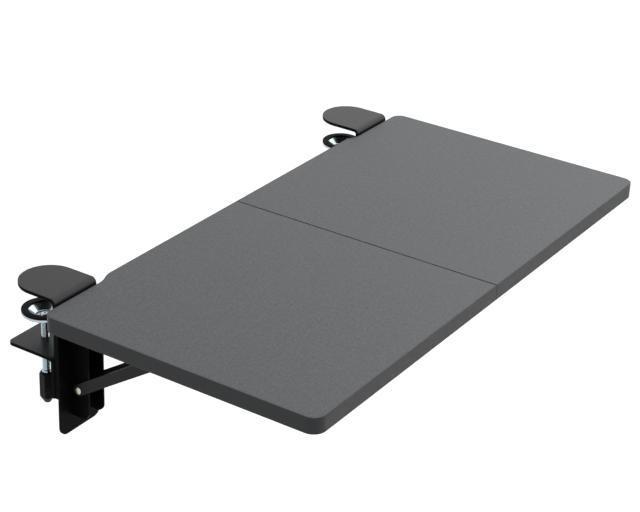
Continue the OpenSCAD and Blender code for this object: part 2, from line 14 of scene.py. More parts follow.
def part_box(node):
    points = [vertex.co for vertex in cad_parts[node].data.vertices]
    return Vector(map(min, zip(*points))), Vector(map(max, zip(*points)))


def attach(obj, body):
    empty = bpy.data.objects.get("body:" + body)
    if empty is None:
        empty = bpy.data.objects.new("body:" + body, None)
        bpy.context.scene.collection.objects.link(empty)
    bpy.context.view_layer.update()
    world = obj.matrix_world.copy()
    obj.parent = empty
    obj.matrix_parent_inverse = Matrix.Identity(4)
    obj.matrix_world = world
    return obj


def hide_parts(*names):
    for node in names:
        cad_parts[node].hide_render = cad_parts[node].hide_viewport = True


bl_info = {
    "name": "Clamp-on Keyboard Tray",
    "version": (1, 0, 0),
    "blender": (4, 5, 0),
    "location": "3D View > Sidebar > Keyboard Tray",
    "description": "Builds a two-panel keyboard tray on folding clamp brackets",
    "category": "Object",
}

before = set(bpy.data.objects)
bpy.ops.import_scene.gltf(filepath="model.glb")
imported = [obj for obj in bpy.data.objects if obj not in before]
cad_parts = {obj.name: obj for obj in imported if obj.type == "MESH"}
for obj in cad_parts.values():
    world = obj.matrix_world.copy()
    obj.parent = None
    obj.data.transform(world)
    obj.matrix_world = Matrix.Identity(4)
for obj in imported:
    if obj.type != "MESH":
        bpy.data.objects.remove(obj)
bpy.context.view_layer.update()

MM = 0.001
# Left and right bracket, each with the direction from its middle to the tray's middle
SIDES = (("left", 1), ("right", -1))


def middle(node):
    """Middle of a node's box."""
    low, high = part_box(node)
    return (low + high) / 2


def span(node, axis):
    """Size of a node's box along an axis."""
    low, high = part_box(node)
    return high[axis] - low[axis]


# Places of the right side's hardware, which the left side mirrors
CLAMP_X, SPINDLE_Y, _ = middle("right_thread_nut")
HINGE_PLACE = middle("right_hinge_pin")
RIVET_PLACE = middle("right_strut_rivet")
STUD_PLACE = middle("right_slider_studs")
PANEL_LO, PANEL_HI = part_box("right_panel")

# Where a sheet is bent, its faces are at least this wide and the bend this long
WIDE_FACE = 5 * MM
LONG_EDGE = 15 * MM


# Colours, nodes and meshes

def linear(code):
    """Linear colour of an sRGB hex value."""
    values = [int(code[i:i + 2], 16) / 255 for i in (1, 3, 5)]
    return tuple(v / 12.92 if v <= 0.04045 else ((v + 0.055) / 1.055) ** 2.4
                 for v in values)


def add(tree, kind, inputs=None, **settings):
    """Adds a node, links or sets its inputs, and gives its first output."""
    node = tree.nodes.new(kind)
    for key, value in settings.items():
        setattr(node, key, value)
    for key, value in (inputs or {}).items():
        for each in value if isinstance(value, list) else [value]:
            if isinstance(each, bpy.types.NodeSocket):
                tree.links.new(each, node.inputs[key])
            else:
                node.inputs[key].default_value = each
    return node.outputs[0] if node.outputs else node


def new_piece(name, mesh):
    """A new object in the scene, at the origin."""
    piece = bpy.data.objects.new(name, mesh)
    bpy.context.scene.collection.objects.link(piece)
    return piece


def seat(piece, body, slot, finish, *nodes):
    """Gives a piece its finish and its body and hides the nodes it replaces; slot is not
    used.
    """
    piece.data.materials.clear()
    piece.data.materials.append(FINISHES[finish])
    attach(piece, body)
    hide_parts(*nodes)


def bake(piece):
    """Turns a piece and its modifiers into a plain mesh."""
    bpy.context.view_layer.update()
    depsgraph = bpy.context.evaluated_depsgraph_get()
    mesh = bpy.data.meshes.new_from_object(piece.evaluated_get(depsgraph))
    piece.modifiers.clear()
    piece.data = mesh
    return piece


def shaded(piece, crease=30.0):
    """Closes a piece's seams, points its faces outwards and keeps its edges crisp."""
    form = bmesh.new()
    form.from_mesh(piece.data)
    bmesh.ops.remove_doubles(form, verts=form.verts, dist=0.001 * MM)
    bmesh.ops.recalc_face_normals(form, faces=form.faces)
    for face in form.faces:
        face.smooth = True
    form.to_mesh(piece.data)
    form.free()
    piece.data.set_sharp_from_angle(angle=radians(crease))
    return piece


def eased(node, width, bend=0.0, steps=2, corner=35):
    """A copy of a node with its flat faces whole and its outer edges rounded.

    An edge is rounded where its faces turn by more than the corner, in degrees. A long
    edge between two wide faces is a bend in the sheet, and gets the bend's radius."""
    form = bmesh.new()
    form.from_mesh(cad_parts[node].data)
    bmesh.ops.remove_doubles(form, verts=form.verts, dist=0.002 * MM)
    bmesh.ops.dissolve_limit(form, angle_limit=radians(0.3), verts=form.verts,
                             edges=form.edges)
    widest = max(width, bend)
    weight = form.edges.layers.float.new("bevel_weight_edge")
    for edge in form.edges:
        if len(edge.link_faces) != 2 or not edge.is_convex:
            continue
        if edge.calc_face_angle(0.0) < radians(corner):
            continue
        run = edge.calc_length()
        wide = min(face.calc_area() for face in edge.link_faces) > WIDE_FACE * run
        folded = bend and wide and run > LONG_EDGE
        edge[weight] = (bend if folded else width) / widest
    mesh = bpy.data.meshes.new(node + "_finished")
    for face in form.faces:
        face.smooth = True
    form.to_mesh(mesh)
    form.free()
    piece = new_piece(node + "_finished", mesh)
    rounding = piece.modifiers.new("Rounding", "BEVEL")
    rounding.limit_method = "WEIGHT"
    rounding.width = widest
    rounding.segments = steps
    rounding.use_clamp_overlap = True
    piece.modifiers.new("Flat faces", "WEIGHTED_NORMAL").keep_sharp = True
    return bake(piece)


def butted(piece, arris, back=0.0):
    """Lets the two halves of the board meet at the foot of the seam.

    Above its middle they stand back, so that the seam shows as a fine dark line."""
    half_way = (PANEL_LO[2] + PANEL_HI[2]) / 2
    play = PANEL_LO[0] + 0.01 * MM
    for corner in piece.data.vertices:
        if corner.co.z < half_way and abs(corner.co.x) < play:
            corner.co.x = 0.0
        elif corner.co.z > half_way and abs(corner.co.x) < play + arris:
            corner.co.x += back if corner.co.x > 0 else -back
    return piece


def softened(points, radius, steps=3):
    """A closed profile with each corner drawn as a small curve."""
    result = []
    for i, corner in enumerate(points):
        here = Vector(corner)
        ends = []
        for other in (points[i - 1], points[(i + 1) % len(points)]):
            side = Vector(other) - here
            ends.append(here + side.normalized() * min(radius, side.length / 2))
        for k in range(steps + 1):
            t = k / steps
            point = (1 - t) ** 2 * ends[0] + 2 * t * (1 - t) * here + t * t * ends[1]
            result.append(tuple(point))
    return result


def turn(form, profile, place, steps=64):
    """Turns a profile of (radius, height) in mm about the axis of a place.

    It runs from pole to pole, or is closed by its last point meeting its first."""
    rings = []
    for radius, height in profile:
        # A pole is a single point
        angles = [tau * i / steps for i in range(steps if radius else 1)]
        points = [(radius * MM * cos(a), radius * MM * sin(a), height * MM)
                  for a in angles]
        rings.append([form.verts.new(place @ Vector(point)) for point in points])
    pairs = list(zip(rings, rings[1:]))
    if len(rings[0]) > 1:
        pairs.append((rings[-1], rings[0]))
    for low, high in pairs:
        for i in range(steps):
            corners = [low[i % len(low)], low[(i + 1) % steps % len(low)],
                       high[(i + 1) % steps % len(high)], high[i % len(high)]]
            corners = list(dict.fromkeys(corners))
            if len(corners) > 2:
                form.faces.new(corners)


def turned(name, profiles, crease=30.0, steps=64):
    """A piece of one or more turned shells, given as (profile, place)."""
    form = bmesh.new()
    for profile, place in profiles:
        turn(form, profile, place, steps)
    mesh = bpy.data.meshes.new(name)
    form.to_mesh(mesh)
    form.free()
    return shaded(new_piece(name, mesh), crease)


def clamp_x(heading):
    """Where the middle of a bracket stands along the tray."""
    return -heading * CLAMP_X


def across(point, heading):
    """Place of a pin that lies across a bracket, counted towards the tray's middle."""
    return (Matrix.Translation((clamp_x(heading), point[1], point[2]))
            @ Matrix.Rotation(heading * pi / 2, 4, "Y"))


def screw_axis(heading):
    """Place on the axis of a clamp screw, at the height of the desk top."""
    return Matrix.Translation((clamp_x(heading), SPINDLE_Y, 0))


def mirrored(profile):
    """A pin's profile from its middle outwards, made whole on both sides."""
    return [(r, -h) for r, h in reversed(profile)] + list(profile)


# Geometry trees

def sized_tree(name, sizes, counts=()):
    """A geometry tree with its places, sizes, turn and material as named inputs."""
    tree = bpy.data.node_groups.new(name, "GeometryNodeTree")
    kinds = [("Places", "NodeSocketGeometry")]
    kinds += [(size, "NodeSocketFloat") for size in sizes]
    kinds += [(count, "NodeSocketInt") for count in counts]
    kinds += [("Turn", "NodeSocketVector"), ("Material", "NodeSocketMaterial")]
    for label, kind in kinds:
        socket = tree.interface.new_socket(label, in_out="INPUT", socket_type=kind)
        if label in sizes:
            socket.subtype = "DISTANCE"
        elif label == "Turn":
            socket.subtype = "EULER"
    tree.interface.new_socket("Mesh", in_out="OUTPUT", socket_type="NodeSocketGeometry")
    return tree, add(tree, "NodeGroupInput").node.outputs


def close_tree(tree, inputs, shape):
    """Sets the shape on each place and ends the tree as the export needs it."""
    copies = add(tree, "GeometryNodeInstanceOnPoints", {
        "Points": inputs["Places"], "Instance": shape, "Rotation": inputs["Turn"]})
    whole = add(tree, "GeometryNodeRealizeInstances", {0: copies})
    painted = add(tree, "GeometryNodeSetMaterial",
                  {"Geometry": whole, "Material": inputs["Material"]})
    add(tree, "NodeGroupOutput", {0: painted})
    return tree


def fastener_tree(name, cross):
    """A screw or bolt along +Z, its head's face at the place, with a cut in it."""
    tree, size = sized_tree(name, ("Face radius", "Seat radius", "Head height",
                                   "Dome radius", "Shank radius", "Shank length",
                                   "Cut radius", "Cut width", "Cut depth"))
    cone = add(tree, "GeometryNodeMeshCone", {
        "Vertices": 40, "Radius Top": size["Seat radius"],
        "Radius Bottom": size["Face radius"], "Depth": size["Head height"]})
    ball = add(tree, "GeometryNodeMeshUVSphere",
               {"Segments": 40, "Rings": 96, "Radius": size["Dome radius"]})
    lift = add(tree, "ShaderNodeCombineXYZ", {"Z": size["Dome radius"]})
    dome = add(tree, "GeometryNodeTransform", {"Geometry": ball, "Translation": lift})
    head = add(tree, "GeometryNodeMeshBoolean", {1: [cone, dome]},
               operation="INTERSECT", solver="EXACT")
    # The shank starts halfway up the head, so that the two join for certain
    half_head = add(tree, "ShaderNodeMath", {0: size["Head height"], 1: 0.5},
                    operation="MULTIPLY")
    shank_length = add(tree, "ShaderNodeMath", {0: size["Shank length"], 1: half_head})
    half_shank = add(tree, "ShaderNodeMath", {0: shank_length, 1: 0.5, 2: half_head},
                     operation="MULTIPLY_ADD")
    shank = add(tree, "GeometryNodeMeshCylinder", {
        "Vertices": 32, "Radius": size["Shank radius"], "Depth": shank_length})
    shank = add(tree, "GeometryNodeTransform", {
        "Geometry": shank,
        "Translation": add(tree, "ShaderNodeCombineXYZ", {"Z": half_shank})})
    whole = add(tree, "GeometryNodeMeshBoolean", {1: [head, shank]}, operation="UNION",
                solver="EXACT")
    # The cut runs as far out of the face as into it
    depth = add(tree, "ShaderNodeMath", {0: size["Cut depth"], 1: 2.0},
                operation="MULTIPLY")
    if cross:
        bar = add(tree, "ShaderNodeMath", {0: size["Cut radius"], 1: 2.0},
                  operation="MULTIPLY")
        bars = [add(tree, "GeometryNodeMeshCube", {
            "Size": add(tree, "ShaderNodeCombineXYZ", {0: a, 1: b, 2: depth})})
            for a, b in ((bar, size["Cut width"]), (size["Cut width"], bar))]
        cut = add(tree, "GeometryNodeMeshBoolean", {1: bars}, operation="UNION",
                  solver="EXACT")
    else:
        cut = add(tree, "GeometryNodeMeshCylinder", {
            "Vertices": 6, "Radius": size["Cut radius"], "Depth": depth})
    shape = add(tree, "GeometryNodeMeshBoolean", {0: whole, 1: cut},
                operation="DIFFERENCE", solver="EXACT")
    return close_tree(tree, size, shape)


def nut_tree():
    """A hexagon nut along +Z with its corners chamfered at both faces."""
    tree, size = sized_tree("Hexagon nuts", ("Corner radius", "Height", "Bore radius",
                                             "Chamfer radius"))
    half = add(tree, "ShaderNodeMath", {0: size["Height"], 1: 0.5},
               operation="MULTIPLY")
    lift = add(tree, "ShaderNodeCombineXYZ", {"Z": half})
    prism = add(tree, "GeometryNodeMeshCylinder", {
        "Vertices": 6, "Radius": size["Corner radius"], "Depth": size["Height"]})
    prism = add(tree, "GeometryNodeTransform", {"Geometry": prism, "Translation": lift})
    # A 30 degree chamfer: the cone opens by 1.732 of the height
    spread = add(tree, "ShaderNodeMath",
                 {0: size["Height"], 1: 1.732, 2: size["Chamfer radius"]},
                 operation="MULTIPLY_ADD")
    upward = add(tree, "GeometryNodeMeshCone", {
        "Vertices": 48, "Radius Top": spread, "Radius Bottom": size["Chamfer radius"],
        "Depth": size["Height"]})
    downward = add(tree, "GeometryNodeMeshCone", {
        "Vertices": 48, "Radius Top": size["Chamfer radius"], "Radius Bottom": spread,
        "Depth": size["Height"]})
    hexagon = add(tree, "GeometryNodeMeshBoolean", {1: [prism, upward, downward]},
                  operation="INTERSECT", solver="EXACT")
    double = add(tree, "ShaderNodeMath", {0: size["Height"], 1: 2.0},
                 operation="MULTIPLY")
    bore = add(tree, "GeometryNodeMeshCylinder", {
        "Vertices": 40, "Radius": size["Bore radius"], "Depth": double})
    bore = add(tree, "GeometryNodeTransform", {"Geometry": bore, "Translation": lift})
    shape = add(tree, "GeometryNodeMeshBoolean", {0: hexagon, 1: bore},
                operation="DIFFERENCE", solver="EXACT")
    return close_tree(tree, size, shape)


def spring_tree():
    """A wire wound in even curls along +Z."""
    tree, size = sized_tree("Wound spring", ("Wire radius", "Curl radius", "Length"),
                            ("Curls",))
    line = add(tree, "GeometryNodeCurveSpiral", {
        "Resolution": 32, "Rotations": size["Curls"], "Height": size["Length"],
        "Start Radius": size["Curl radius"], "End Radius": size["Curl radius"]})
    wire = add(tree, "GeometryNodeCurvePrimitiveCircle",
               {"Resolution": 12, "Radius": size["Wire radius"]})
    shape = add(tree, "GeometryNodeCurveToMesh",
                {"Curve": line, "Profile Curve": wire, "Fill Caps": True})
    return close_tree(tree, size, shape)


def thread_tree():
    """A rod along +Z with a single thread: the crest climbs one pitch in each turn."""
    tree, size = sized_tree("Threaded rod", ("Crest radius", "Thread depth", "Pitch",
                                             "Length"), ("Rows",))
    sheet = add(tree, "GeometryNodeMeshGrid", {
        "Size X": 1.0, "Size Y": 1.0, "Vertices X": 41, "Vertices Y": size["Rows"]})
    parts = add(tree, "ShaderNodeSeparateXYZ",
                {0: add(tree, "GeometryNodeInputPosition")}).node.outputs
    around = add(tree, "ShaderNodeMath", {0: parts[0], 1: 0.5})
    along = add(tree, "ShaderNodeMath", {0: parts[1], 1: 0.5})
    height = add(tree, "ShaderNodeMath", {0: along, 1: size["Length"]},
                 operation="MULTIPLY")
    turns = add(tree, "ShaderNodeMath", {0: height, 1: size["Pitch"]},
                operation="DIVIDE")
    phase = add(tree, "ShaderNodeMath", {0: turns, 1: around}, operation="SUBTRACT")
    wave = add(tree, "ShaderNodeMath", {0: phase, 1: 0.5}, operation="PINGPONG")
    # Flats on the crest and in the root, as rolled threads have
    groove = add(tree, "ShaderNodeMapRange",
                 {"Value": wave, "From Min": 0.08, "From Max": 0.42},
                 interpolation_type="SMOOTHSTEP")
    sunk = add(tree, "ShaderNodeMath", {0: groove, 1: size["Thread depth"]},
               operation="MULTIPLY")
    radius = add(tree, "ShaderNodeMath", {0: size["Crest radius"], 1: sunk},
                 operation="SUBTRACT")
    # The first and last rows close to a point on the axis
    inside = add(tree, "ShaderNodeMath", {0: along, 1: 0.5, 2: 0.4999},
                 operation="COMPARE")
    radius = add(tree, "ShaderNodeMath", {0: radius, 1: inside}, operation="MULTIPLY")
    angle = add(tree, "ShaderNodeMath", {0: around, 1: tau}, operation="MULTIPLY")
    place = add(tree, "ShaderNodeCombineXYZ", {
        0: add(tree, "ShaderNodeMath", {
            0: radius, 1: add(tree, "ShaderNodeMath", {0: angle}, operation="COSINE")},
            operation="MULTIPLY"),
        1: add(tree, "ShaderNodeMath", {
            0: radius, 1: add(tree, "ShaderNodeMath", {0: angle}, operation="SINE")},
            operation="MULTIPLY"),
        2: height})
    rod = add(tree, "GeometryNodeSetPosition", {"Geometry": sheet, "Position": place})
    rod = add(tree, "GeometryNodeMergeByDistance", {"Geometry": rod,
                                                    "Distance": 0.005 * MM})
    return close_tree(tree, size, rod)


def grown(name, tree, places, finish, crease=30.0, **values):
    """A piece that a tree makes on its places, baked to a plain mesh."""
    cloud = bpy.data.meshes.new(name)
    cloud.from_pydata([tuple(place) for place in places], [], [])
    piece = new_piece(name, cloud)
    maker = piece.modifiers.new("Maker", "NODES")
    maker.node_group = tree
    values = {key.replace("_", " "): value for key, value in values.items()}
    values["Material"] = FINISHES[finish]
    for socket in tree.interface.items_tree:
        if socket.in_out == "INPUT" and socket.name in values:
            maker[socket.identifier] = values[socket.name]
    return shaded(bake(piece), crease)


# Finishes

FINISHES = {}


def finish(name, colour, blotch, grain, rough, pebble=False, **shader):
    """A finish with soft blotches in its colour and gloss, and a fine relief.

    blotch is its size in mm and the share by which the colour varies, grain is its
    size and depth in mm, and rough is the least and the most roughness."""
    material = bpy.data.materials.new(name)
    material.use_nodes = True
    tree = material.node_tree
    tree.nodes.clear()
    place = add(tree, "ShaderNodeTexCoord").node.outputs["Object"]
    cloud = add(tree, "ShaderNodeTexNoise", {
        "Vector": place, "Scale": 1 / (blotch[0] * MM), "Detail": 3.0,
        "Roughness": 0.6})
    share = add(tree, "ShaderNodeMapRange",
                {"Value": cloud, "From Min": 0.3, "From Max": 0.7})
    tone = add(tree, "ShaderNodeMix", {
        "Factor": share,
        "A": tuple(c * (1 - blotch[1]) for c in colour) + (1.0,),
        "B": tuple(min(1.0, c * (1 + blotch[1])) for c in colour) + (1.0,)},
        data_type="RGBA").node.outputs[2]
    gloss = add(tree, "ShaderNodeMapRange", {
        "Value": cloud, "From Min": 0.3, "From Max": 0.7, "To Min": rough[0],
        "To Max": rough[1]})
    if pebble:
        relief = add(tree, "ShaderNodeTexVoronoi", {
            "Vector": place, "Scale": 1 / (grain[0] * MM), "Smoothness": 0.6},
            feature="SMOOTH_F1")
    else:
        relief = add(tree, "ShaderNodeTexNoise", {
            "Vector": place, "Scale": 1 / (grain[0] * MM), "Detail": 2.0})
    bump = add(tree, "ShaderNodeBump",
               {"Height": relief, "Distance": grain[1] * MM, "Strength": 1.0})
    inputs = {"Base Color": tone, "Roughness": gloss, "Normal": bump}
    inputs.update({key.replace("_", " "): value for key, value in shader.items()})
    surface = add(tree, "ShaderNodeBsdfPrincipled", inputs)
    add(tree, "ShaderNodeOutputMaterial", {"Surface": surface})
    FINISHES[name] = material


def beech(name, light, dark):
    """Turned beech dowel: pale, with short darker flecks along its grain."""
    material = bpy.data.materials.new(name)
    material.use_nodes = True
    tree = material.node_tree
    tree.nodes.clear()
    place = add(tree, "ShaderNodeTexCoord").node.outputs["Object"]
    # The grain runs along the rod: its flecks are about 0.5 mm wide and 5 mm long
    along = add(tree, "ShaderNodeMapping", {"Vector": place, "Scale": (0.1, 1.0, 1.0)})
    fleck = add(tree, "ShaderNodeTexNoise", {
        "Vector": along, "Scale": 1 / (0.5 * MM), "Detail": 3.0, "Roughness": 0.7})
    share = add(tree, "ShaderNodeMapRange",
                {"Value": fleck, "From Min": 0.35, "From Max": 0.65})
    tone = add(tree, "ShaderNodeMix", {"Factor": share, "A": tuple(light) + (1.0,),
                                       "B": tuple(dark) + (1.0,)},
               data_type="RGBA").node.outputs[2]
    gloss = add(tree, "ShaderNodeMapRange", {"Value": fleck, "To Min": 0.55,
                                             "To Max": 0.75})
    bump = add(tree, "ShaderNodeBump", {"Height": fleck, "Distance": 0.03 * MM})
    surface = add(tree, "ShaderNodeBsdfPrincipled",
                  {"Base Color": tone, "Roughness": gloss, "Normal": bump})
    add(tree, "ShaderNodeOutputMaterial", {"Surface": surface})
    FINISHES[name] = material


# Settings

def length(name, description, millimetres):
    """A length that the user can change."""
    return bpy.props.FloatProperty(
        name=name, description=description, default=millimetres * MM, min=0.0,
        precision=5, subtype="DISTANCE", unit="LENGTH")


def colour(name, description, code):
    """A colour that the user can change."""
    return bpy.props.FloatVectorProperty(
        name=name, description=description, default=linear(code), min=0.0, max=1.0,
        size=3, subtype="COLOR")


class TraySizes(bpy.types.PropertyGroup):
    """Sizes of the details that the frame leaves plain"""
    arris: length("Board edge", "Rounding of the board's and the band's edges", 0.3)
    seam: length("Seam", "How far the panels' top edges stand back at the seam", 0.5)
    sheet: length("Sheet edge", "Rounding of the deburred edges of the sheets", 0.3)
    fold: length("Sheet bend", "Outer radius of the bends in the channels", 1.5)
    jaw: length("Jaw edge", "Rounding of the edges of the jaws", 0.5)
    moulded: length("Moulded edge", "Rounding of the edges of moulded pieces", 0.5)
    pitch: length("Thread pitch", "Climb of the clamp screw's thread in a turn", 1.25)
    thread: length("Thread depth", "Depth of the clamp screw's thread", 0.6)
    wire: length("Spring wire", "Diameter of the lever spring's wire", 1.2)
    curls: bpy.props.IntProperty(
        name="Spring curls", description="Curls of the lever spring", default=3, min=1)
    cut: length("Recess width", "Width of the cross cut in the screw heads", 0.8)


class TrayColours(bpy.types.PropertyGroup):
    """Colours of the finishes"""
    film: colour("Film", "Charcoal film on the panels", "#484A4D")
    band: colour("Edge band", "Edge band round the panels", "#4A4B4D")
    jaw: colour("Jaws", "Satin powder coat of the jaws", "#1C1C1E")
    bracket: colour("Brackets", "Black powder coat of the brackets", "#0F0F10")
    strut: colour("Struts", "Black powder coat of the struts", "#202022")
    zinc: colour("Zinc", "Bright zinc plating", "#B6C5CC")
    steel: colour("Steel", "Plain bright steel", "#C3BEB6")
    rubber: colour("Rubber", "Rubber ring of the pads", "#101010")
    plastic: colour("Plastic", "Moulded handle and grip", "#121213")
    wood: colour("Beech", "Light part of the dowels", "#CDA87A")
    fleck: colour("Beech fleck", "Dark flecks of the dowels", "#A97B4C")
    floor: colour("Floor", "Floor under the tray", "#A0A0A0")


# Steps

class TRAY_OT_finishes(bpy.types.Operator):
    """Makes the finish of every piece"""
    bl_idname = "tray.finishes"
    bl_label = "Finishes"

    def execute(self, context):
        colours = context.scene.tray_colours
        # Melamine film pressed with a pebble grain: matt, with a fine lively mottle.
        # The real pebbles are about 0.4 mm wide; they are drawn at 1.1 mm to show
        finish("pebbled_melamine_film", colours.film, (2.2, 0.60), (1.1, 0.05),
               (0.38, 0.53), pebble=True, Specular_IOR_Level=0.5)
        # ABS edge band, extruded and scraped: smoother and less glossy than the film
        finish("abs_edge_band", colours.band, (6.0, 0.08), (0.8, 0.012),
               (0.42, 0.55), Specular_IOR_Level=0.26)
        # Polyester powder coat over thick plate: black, its gloss grey at a low angle,
        # with an orange peel of about 0.9 mm that softens it
        finish("satin_powder_coat", colours.jaw, (2.5, 0.10), (0.9, 0.012),
               (0.28, 0.36), Specular_IOR_Level=0.26)
        # Black powder coat over thin sheet: deep black, hardly any gloss, a fine peel
        # It is also laid on the jaws' sides and ends as painted shade
        finish("black_powder_coat", colours.bracket, (3.0, 0.15), (0.8, 0.012),
               (0.40, 0.52), Specular_IOR_Level=0.03)
        # The struts' coat is a shade lighter and glossier
        finish("strut_powder_coat", colours.strut, (3.0, 0.10), (0.8, 0.012),
               (0.34, 0.46), Specular_IOR_Level=0.2)
        # Bright zinc over drawn or turned steel: bluish, its gloss softly uneven. The
        # ripple of its ground, tenths of a mm wide, is drawn at 2.5 mm to show
        finish("bright_zinc", colours.zinc, (9.0, 0.05), (2.5, 0.002),
               (0.15, 0.23), Metallic=1.0)
        # Bare bright steel: warmer, with fine marks of its making about 0.5 mm apart
        finish("bright_steel", colours.steel, (2.0, 0.08), (0.5, 0.003),
               (0.24, 0.40), Metallic=1.0)
        # Moulded nitrile rubber: black and matt, with a faint dusty mottle
        finish("nitrile_rubber", colours.rubber, (2.5, 0.20), (0.5, 0.02),
               (0.62, 0.80), Specular_IOR_Level=0.12)
        # Spark-eroded glass-filled nylon: black, with a fine even texture, drawn at
        # 0.5 mm, a few times the size of the real one
        finish("moulded_nylon", colours.plastic, (3.0, 0.12), (0.5, 0.015),
               (0.32, 0.44), Specular_IOR_Level=0.1)
        # Dipped vinyl over the lever's tab: black, softly glossy
        finish("dipped_vinyl", colours.plastic, (4.0, 0.08), (1.5, 0.02),
               (0.30, 0.42), Specular_IOR_Level=0.5)
        beech("turned_beech", colours.wood, colours.fleck)
        return {"FINISHED"}


class TRAY_OT_panels(bpy.types.Operator):
    """Builds the two film-covered panels, which meet at the foot of the seam"""
    bl_idname = "tray.panels"
    bl_label = "Panels"

    def execute(self, context):
        sizes = context.scene.tray_sizes
        for side, _ in SIDES:
            node = side + "_panel"
            panel = butted(eased(node, sizes.arris), sizes.arris, sizes.seam)
            seat(panel, "tray", "board", "pebbled_melamine_film", node)
        return {"FINISHED"}


class TRAY_OT_bands(bpy.types.Operator):
    """Builds the edge bands round the panels"""
    bl_idname = "tray.bands"
    bl_label = "Edge Bands"

    def execute(self, context):
        arris = context.scene.tray_sizes.arris
        for side, _ in SIDES:
            node = side + "_edge_band"
            band = butted(eased(node, arris), arris)
            seat(band, "tray", "edge_band", "abs_edge_band", node)
        return {"FINISHED"}


class TRAY_OT_joining(bpy.types.Operator):
    """Builds the joining plates, their screws and the dowels of the seam"""
    bl_idname = "tray.joining"
    bl_label = "Seam Hardware"

    def execute(self, context):
        sizes = context.scene.tray_sizes
        seat(eased("joining_plates", sizes.sheet), "tray", "bracket_paint",
             "black_powder_coat", "joining_plates")
        low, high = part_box("joining_screws")
        band, rows, head = 1 * MM, 3, 2.2 * MM
        front, rear = PANEL_LO[1] - band, PANEL_HI[1] + band
        ys = [rear - (rear - front) * (i + 0.5) / rows for i in range(rows)]
        # Two screws hold each half of a plate, at these distances from the seam
        near, far = 18.0 * MM, 46.8 * MM
        places = [(s * x, y, low[2]) for s in (-1, 1) for x in (near, far) for y in ys]
        screws = grown("joining_screws_finished",
                       fastener_tree("Pan head screws", True), places, "bright_zinc",
                       Face_radius=3.2 * MM, Seat_radius=4 * MM, Head_height=head,
                       Dome_radius=9 * MM, Shank_radius=2 * MM,
                       Shank_length=high[2] - low[2] - head, Cut_radius=2.2 * MM,
                       Cut_width=sizes.cut, Cut_depth=1.2 * MM)
        seat(screws, "tray", "zinc", "bright_zinc", "joining_screws")
        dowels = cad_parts["seam_dowels"]
        dowels.material_slots[0].material = FINISHES["turned_beech"]
        return {"FINISHED"}


class TRAY_OT_arms(bpy.types.Operator):
    """Builds the arms under the board, their screws and their stop studs"""
    bl_idname = "tray.arms"
    bl_label = "Arms"

    def execute(self, context):
        sizes = context.scene.tray_sizes
        for side, _ in SIDES:
            node = side + "_arm"
            seat(eased(node, sizes.sheet, sizes.fold), "tray", "bracket_paint",
                 "black_powder_coat", node)
        low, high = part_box("arm_screws")
        count, face, head = 5, 4 * MM, 2 * MM
        first, last = high[1] - face, low[1] + face
        places = [(s * CLAMP_X, first + (last - first) * i / (count - 1), low[2])
                  for s in (-1, 1) for i in range(count)]
        screws = grown("arm_screws_finished",
                       fastener_tree("Countersunk screws", True), places,
                       "bright_zinc", Face_radius=face, Seat_radius=2 * MM,
                       Head_height=head, Dome_radius=60 * MM, Shank_radius=2 * MM,
                       Shank_length=high[2] - low[2] - head, Cut_radius=2.2 * MM,
                       Cut_width=sizes.cut, Cut_depth=1.2 * MM)
        seat(screws, "tray", "zinc", "bright_zinc", "arm_screws")
        seat(eased("stop_studs", sizes.sheet), "tray", "steel", "bright_steel",
             "stop_studs")
        return {"FINISHED"}


class TRAY_OT_jaws(bpy.types.Operator):
    """Builds the bent plates of the upper and lower jaws, with painted shade on their
    sides and ends
    """
    bl_idname = "tray.jaws"
    bl_label = "Jaws"

    def execute(self, context):
        for side, _ in SIDES:
            for node in (side + "_upper_jaw", side + "_lower_jaw"):
                piece = eased(node, context.scene.tray_sizes.jaw, steps=3)
                seat(piece, "clamp_frames", "jaw_paint", "satin_powder_coat", node)
                self.paint_shade_on_sides(piece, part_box(node)[1][1])
        return {"FINISHED"}

    def paint_shade_on_sides(self, piece, reach):
        """Paints shade on the plate's sides and its end by giving them the darker, less
        glossy black coat.
        """
        # Painted shade: faces that turn sideways or towards the plate's end take the
        # black coat
        piece.data.materials.append(FINISHES["black_powder_coat"])
        end_zone = reach - 5 * MM
        for face in piece.data.polygons:
            sideways = abs(face.normal.x) > 0.3
            at_end = face.normal.y > 0.7 and face.center.y > end_zone
            face.material_index = int(sideways or at_end)


class TRAY_OT_bolts(bpy.types.Operator):
    """Builds the clamp bolts and their nuts, and the nuts that the spindles run in"""
    bl_idname = "tray.bolts"
    bl_label = "Bolts and Nuts"

    def execute(self, context):
        bolts, nuts = fastener_tree("Socket bolts", False), nut_tree()
        low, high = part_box("right_clamp_bolts")
        head_radius, head = 5.4 * MM, 3.3 * MM
        heights = high[2] - head_radius, low[2] + head_radius
        away = (-pi / 2, 0.0, 0.0)
        for side, heading in SIDES:
            x = clamp_x(heading)
            node = side + "_clamp_bolts"
            piece = grown(node + "_finished", bolts, [(x, low[1], z) for z in heights],
                          "bright_zinc", Face_radius=4.6 * MM, Seat_radius=head_radius,
                          Head_height=head, Dome_radius=9 * MM, Shank_radius=3 * MM,
                          Shank_length=high[1] - low[1] - head, Cut_radius=2.01 * MM,
                          Cut_depth=2 * MM, Turn=away)
            seat(piece, "clamp_frames", "zinc", "bright_zinc", node)
            node = side + "_clamp_nuts"
            places = [(x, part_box(node)[0][1], z) for z in heights]
            piece = grown(node + "_finished", nuts, places, "bright_zinc",
                          Corner_radius=span(node, 0) / 2, Height=span(node, 1),
                          Bore_radius=3.02 * MM, Chamfer_radius=5.2 * MM, Turn=away)
            seat(piece, "clamp_frames", "zinc", "bright_zinc", node)
            node = side + "_thread_nut"
            places = [(x, SPINDLE_Y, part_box(node)[0][2])]
            piece = grown(node + "_finished", nuts, places, "bright_zinc",
                          Corner_radius=span(node, 0) / 2, Height=span(node, 2),
                          Bore_radius=4.05 * MM, Chamfer_radius=6.8 * MM)
            seat(piece, "clamp_frames", "zinc", "bright_zinc", node)
        return {"FINISHED"}


